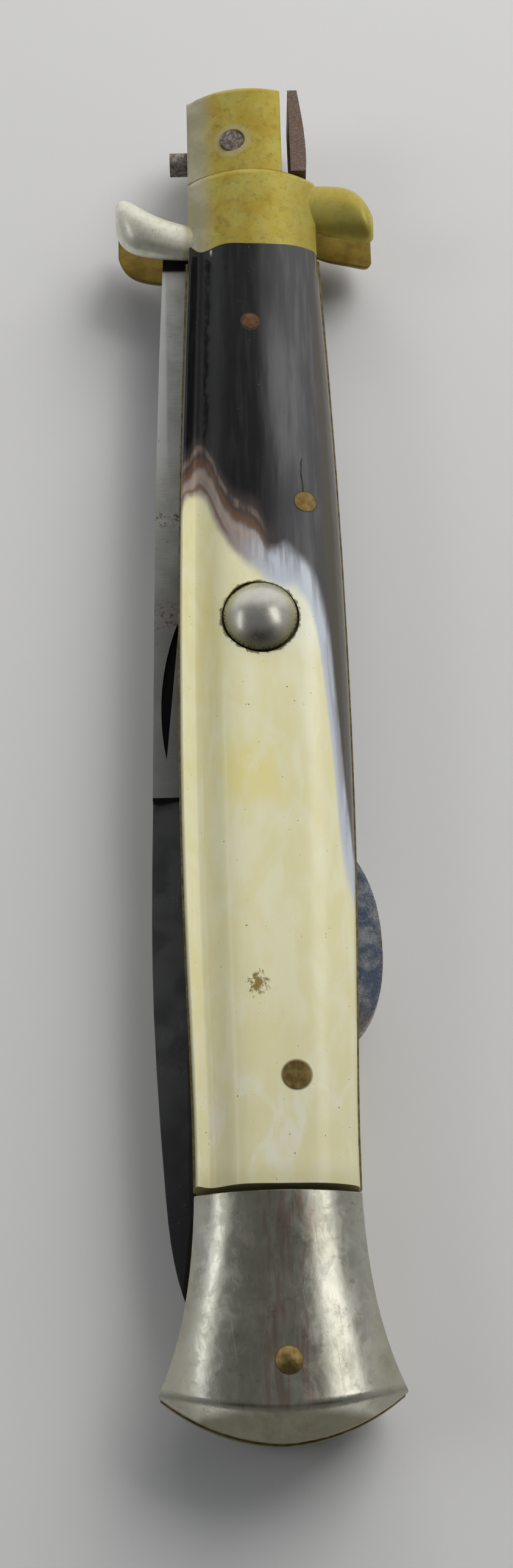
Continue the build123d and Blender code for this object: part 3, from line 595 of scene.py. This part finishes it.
def grime_rings(look, marked):
    """Dirt round the pins, and round the button where there is one."""
    grime = None
    for node, radius in GRIME_RADIUS.items():
        px, py, _ = centre(node)
        ring = look.band(look.distance(px, py), radius, 0.06, 0.14)
        grime = ring if grime is None else look.most(grime, ring)
    if marked:
        px, py, _ = centre("button")
        ragged = look.noise(0.7, detail=4, roughness=0.7, shift=27)
        chewed = look.plus(look.distance(px, py), look.swing(ragged, 1.1))
        grime = look.most(grime, look.step(chewed, *BUTTON_GRIME_R))
    return grime


def scale_celluloid(name, marked):
    """Marbled celluloid, charcoal at the guard and ivory at the pommel; marked adds the front's damage."""
    look = Look(name)
    streak = look.noise(0.55, detail=4, roughness=0.5, stretch=(1, 12, 1), distortion=0.15)
    broad = look.noise(1.6, detail=3, stretch=(1, 9, 1), shift=3)
    colour = with_seam(look, streak, ivory_part(look, broad), charcoal_part(look, streak, broad))
    colour = look.paint(colour, GRIME, grime_rings(look, marked), 0.8)
    # Painted shade: the ivory darkens towards the pommel, most at the scale's end
    colour = look.paint(colour, PAINTED_END_SHADE, look.step(look.y, *END_SHADE_Y), 0.5)
    colour = look.paint(colour, PAINTED_FALLOFF_SHADE, look.step(look.y, *FALLOFF_SHADE_Y), 0.35)

    # Small chips at the guard, and specks
    chips = look.times(look.step(look.y, *CHIP_Y), look.step(look.noise(0.9, detail=3, shift=4), 0.62, 0.67),
                       look.band(look.x, -2.6, 1.8, 0.6))
    colour = look.mix(chips, colour, CHIP_GREY)
    specks = look.step(look.noise(0.30, detail=1, shift=31), 0.775, 0.80)
    colour = look.paint(colour, SPECK_BROWN, specks, 0.8)
    dents = look.most(chips, specks)
    if marked:
        # A small brown burn, and a hairline crack running up from the lock bar's pin
        fray = look.swing(look.noise(0.5, detail=5, roughness=0.75, shift=17), 4.0)
        burn = look.step(look.plus(look.distance(*BURN_AT), fray), *BURN_R)
        colour = look.paint(colour, BURN_BROWN, burn, 0.9)
        px, py, _ = centre("lock_bar_pin")
        wander = look.swing(look.noise(1.2, detail=2, shift=2), 0.5)
        crack = look.times(look.band(look.plus(look.x, wander), px + CRACK_FROM_PIN[0], 0.03, 0.05),
                           look.band(look.y, py + CRACK_FROM_PIN[1], 1.6, 0.5))
        colour = look.mix(crack, colour, CRACK_BLACK)
        dents = look.most(dents, crack, look.times(burn, 0.4))
    ripple = look.noise(3.0, detail=2, stretch=(1, 3, 1), shift=40)
    look.bump(look.minus(ripple, dents), 0.05)
    rough = look.plus(0.20, look.times(streak, 0.08))
    return look.finish(colour, rough, 0.0, coat_weight=0.25, coat_roughness=0.10)


FLOOR_GREY, LIGHT_FLOOR_GREY = (0.60, 0.60, 0.608), (0.63, 0.63, 0.63)


def floor_material():
    """A plain pale floor, a little cloudy."""
    look = Look("pale_floor")
    colour = look.mix(look.noise(60.0, detail=3), FLOOR_GREY, LIGHT_FLOOR_GREY)
    return look.finish(colour, 0.85)


looks = {
    "front_guard_bolster": guard_metal("olive_brass_front", 1.0),
    "rear_guard_bolster": guard_metal("shaded_brass_rear", 0.0),
    "front_pommel_bolster": nickel_silver(),
    "blade": blade_steel(),
    "lock_bar": spring_steel(),
    "pivot_pin": dark_steel(),
    "front_liner": brass("tarnished_brass", (0.50, 0.41, 0.18), (0.27, 0.21, 0.09), 0.30),
    "spacer_pin": brass("brass_pins", (0.50, 0.36, 0.14), (0.28, 0.18, 0.06), 0.30),
    "front_scale_rivet": brass("copper_rivets", (0.33, 0.18, 0.09), (0.17, 0.085, 0.045), 0.34),
    "button": nickel_button(),
    "front_scale": scale_celluloid("marbled_celluloid_front", True),
    "rear_scale": scale_celluloid("marbled_celluloid_rear", False),
}
same_as = {
    "rear_pommel_bolster": "front_pommel_bolster",
    "rear_liner": "front_liner",
    "rear_spacer": "front_liner",
    "lock_bar_spring": "lock_bar",
    "kicker_spring": "lock_bar",
    "sear_lever": "lock_bar",
    "button_spring": "lock_bar",
    "sear_pin": "pivot_pin",
    "fulcrum_pin": "pivot_pin",
    "kicker_pin": "pivot_pin",
    "lock_bar_pin": "spacer_pin",
    "pommel_pin": "spacer_pin",
    "rear_scale_rivet": "front_scale_rivet",
}
for node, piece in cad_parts.items():
    material = looks[same_as.get(node, node)]
    for material_slot in piece.material_slots:
        material_slot.material = material

# ---------------------------------------------------------------- floor
FLOOR_HALF = 3.0
low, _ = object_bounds()
floor_mesh = bpy.data.meshes.new("floor")
corners = [(x * FLOOR_HALF, y * FLOOR_HALF, low[2]) for x, y in ((-1, -1), (1, -1), (1, 1), (-1, 1))]
floor_mesh.from_pydata(corners, [], [(0, 1, 2, 3)])
floor_mesh.materials.append(floor_material())
floor = bpy.data.objects.new("floor", floor_mesh)
bpy.context.scene.collection.objects.link(floor)
